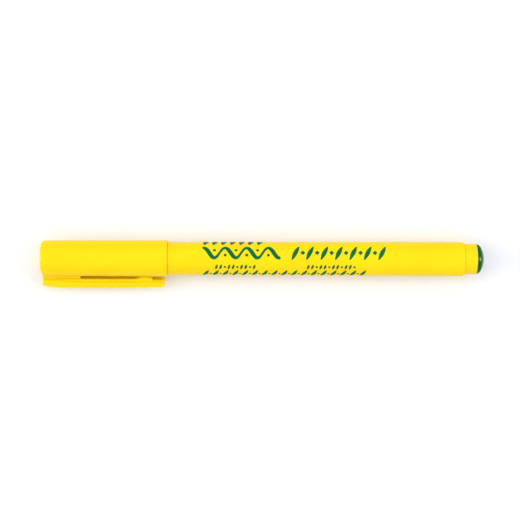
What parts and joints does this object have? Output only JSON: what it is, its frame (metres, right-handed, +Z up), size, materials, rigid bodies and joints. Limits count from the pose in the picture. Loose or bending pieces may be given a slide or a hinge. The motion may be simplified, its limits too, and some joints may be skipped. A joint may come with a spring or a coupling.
{
  "type": "calligraphy marker",
  "caption": "Capped fibre brush pen: long round cap with a springy pocket clip, slim tapered barrel, domed tail plug, and a flexible brush nib fed by a wick under the cap.",
  "frame": {"origin": "on the table under the pen, in the middle of its length and of its width with the clip", "axes": "+X along the pen from its cap to its tail, +Z up from the table the pen lies on, and the clip on the -Y side"},
  "size_m": [0.136, 0.0148, 0.0112],
  "materials": {
    "yellow_plastic": "opaque yellow moulded plastic with a soft satin gloss",
    "green_plastic": "opaque dark green moulded plastic, polished",
    "black_plastic": "black moulded plastic, satin",
    "natural_plastic": "undyed milky moulded plastic",
    "inked_fibre": "bonded polyester fibre soaked with dark green ink",
    "pale_fibre": "bonded polyester fibre, part soaked",
    "clear_film": "thin clear plastic wrap"
  },
  "bodies": {
    "barrel": {"barrel": "yellow_plastic", "tail_plug": "green_plastic", "front_section": "yellow_plastic", "nib_collar": "black_plastic", "brush_root": "inked_fibre", "relay_wick": "pale_fibre", "reservoir_core": "inked_fibre", "reservoir_film": "clear_film"},
    "inner_cap": {"inner_cap": "natural_plastic"},
    "cap": {"cap_shell": "yellow_plastic"},
    "clip": {"pocket_clip": "yellow_plastic"},
    "nib": {"brush_tip": "inked_fibre"}
  },
  "joints": [
    {"name": "cap_pull", "type": "slide", "parent": "barrel", "child": "inner_cap", "axis": [-1, 0, 0], "range_m": [0, 0.045]},
    {"name": "cap_turn", "type": "hinge", "parent": "inner_cap", "child": "cap", "pos_m": [-0.068, 0.00179, 0.0056], "axis": [1, 0, 0], "continuous": true},
    {"name": "clip_flex", "type": "hinge", "parent": "cap", "child": "clip", "pos_m": [-0.05615, -0.00657, 0.00182], "axis": [0, 0.412, -0.9112], "range_deg": [0, 6], "stiffness_Nm_per_rad": 0.4},
    {"name": "nib_flex", "type": "hinge", "parent": "barrel", "child": "nib", "pos_m": [-0.053, 0.00179, 0.0056], "axis": [0, 1, 0], "range_deg": [-20, 20], "stiffness_Nm_per_rad": 0.008}
  ]
}
